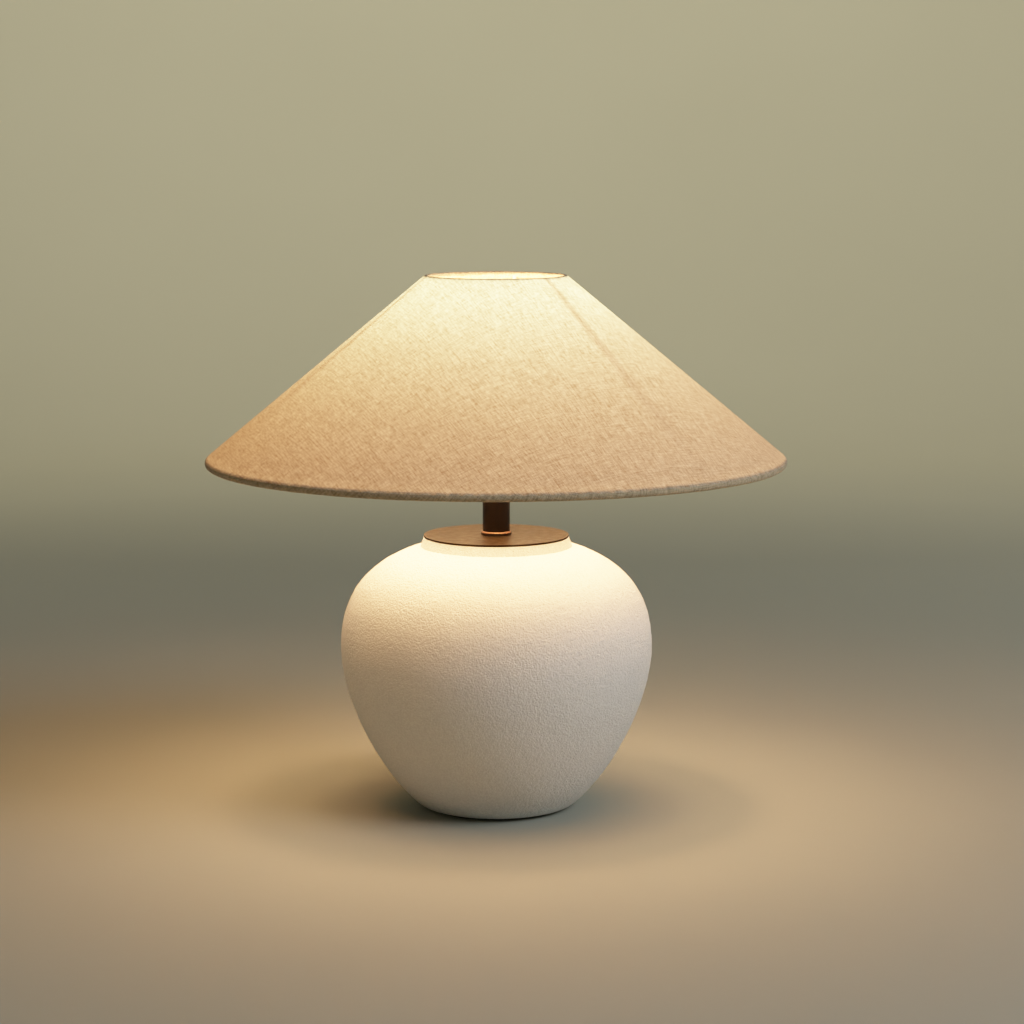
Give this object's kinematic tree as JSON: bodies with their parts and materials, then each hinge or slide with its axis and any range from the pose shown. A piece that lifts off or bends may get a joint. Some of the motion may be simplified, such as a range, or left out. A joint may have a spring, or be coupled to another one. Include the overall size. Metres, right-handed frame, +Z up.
{
  "type": "table lamp with shade",
  "caption": "Table lamp with a round matte ceramic vase base, a short bronze stem and a wide cone shade of linen with rolled hems.",
  "frame": {"origin": "on the lamp axis, at the underside of the felt pad that the lamp rests on", "axes": "+Z up along the lamp axis; -Y is the front; the cord gland is at the back, on the +Y side; the switch knob points along +X"},
  "size_m": [0.45, 0.45, 0.4165],
  "materials": {
    "felt": "pressed felt",
    "fibreboard": "pressed fibreboard",
    "vase_ceramic": "matte, fine sandy relief",
    "black_rubber": "soft",
    "zinc_steel": "zinc plated",
    "cream_plastic": "moulded",
    "brass": "pressed",
    "brown_insulation": "lead insulation",
    "blue_insulation": "lead insulation",
    "green_insulation": "lead insulation",
    "bronze_paint": "satin bronze brown",
    "dark_bronze_paint": "satin dark bronze",
    "copper_edge_bronze": "satin bronze with worn copper edge",
    "black_plastic": "moulded",
    "glazed_insert": "glazed",
    "opal_glass": "opal",
    "clear_glass": "clear",
    "support_wire": "drawn wire",
    "phosphor": "lamp phosphor",
    "board_green": "circuit board",
    "bulb_shell": "nickelled",
    "black_glass": "vitrite",
    "solder": "tinned",
    "linen": "plain weave, slubbed",
    "lining": "styrene sheet",
    "white_wire": "white enamel"
  },
  "bodies": {
    "base": {"foot_pad": "felt", "base_board": "fibreboard", "vase_body": "vase_ceramic", "cord_gland": "black_rubber", "base_plate": "zinc_steel", "lock_washer": "zinc_steel", "base_nut": "zinc_steel", "centre_rod": "zinc_steel", "bracket_nuts": "zinc_steel", "terminal_bracket": "zinc_steel", "terminal_block": "cream_plastic", "terminal_sleeves": "brass", "terminal_screws": "zinc_steel", "block_screws": "zinc_steel", "cord_clamp": "cream_plastic", "clamp_screws": "zinc_steel", "earth_tag": "brass", "lead_live": "brown_insulation", "lead_neutral": "blue_insulation", "lead_earth": "green_insulation", "neck_gasket": "black_rubber", "locating_ring": "dark_bronze_paint", "neck_disc": "bronze_paint", "stem_collar": "copper_edge_bronze", "stem_tube": "dark_bronze_paint", "stem_cap": "dark_bronze_paint", "holder_dome": "black_plastic", "grub_screw": "zinc_steel", "switch_body": "cream_plastic", "switch_bush": "brass", "switch_link": "brass", "neutral_post": "brass", "post_screw": "zinc_steel", "holder_insert": "glazed_insert", "centre_contact": "brass", "screw_shell": "brass", "holder_skirt": "black_plastic", "seat_ring": "black_plastic", "lock_ring": "black_plastic"},
    "switch": {"switch_shaft": "brass", "switch_knob": "black_plastic"},
    "bulb": {"bulb_glass": "opal_glass", "bulb_pillar": "clear_glass", "bulb_supports": "support_wire", "bulb_filaments": "phosphor", "bulb_driver": "board_green", "bulb_cap": "bulb_shell", "bulb_insulator": "black_glass", "bulb_contact": "solder"},
    "shade": {"shade_cover": "linen", "shade_lining": "lining", "bottom_ring": "white_wire", "bottom_hem": "linen", "top_ring": "white_wire", "top_hem": "linen", "fitter_ring": "white_wire", "fitter_arms": "white_wire"}
  },
  "joints": [
    {"name": "shade_swivel", "type": "hinge", "parent": "base", "child": "shade", "pos_m": [0, 0, 0.286], "axis": [0, 0, 1], "continuous": true},
    {"name": "switch_turn", "type": "hinge", "parent": "base", "child": "switch", "pos_m": [0.028, 0, 0.268], "axis": [1, 0, 0], "range_deg": [0, 90]},
    {"name": "bulb_lift", "type": "slide", "parent": "base", "child": "bulb", "axis": [0, 0, 1], "range_m": [0, 0.145]}
  ]
}
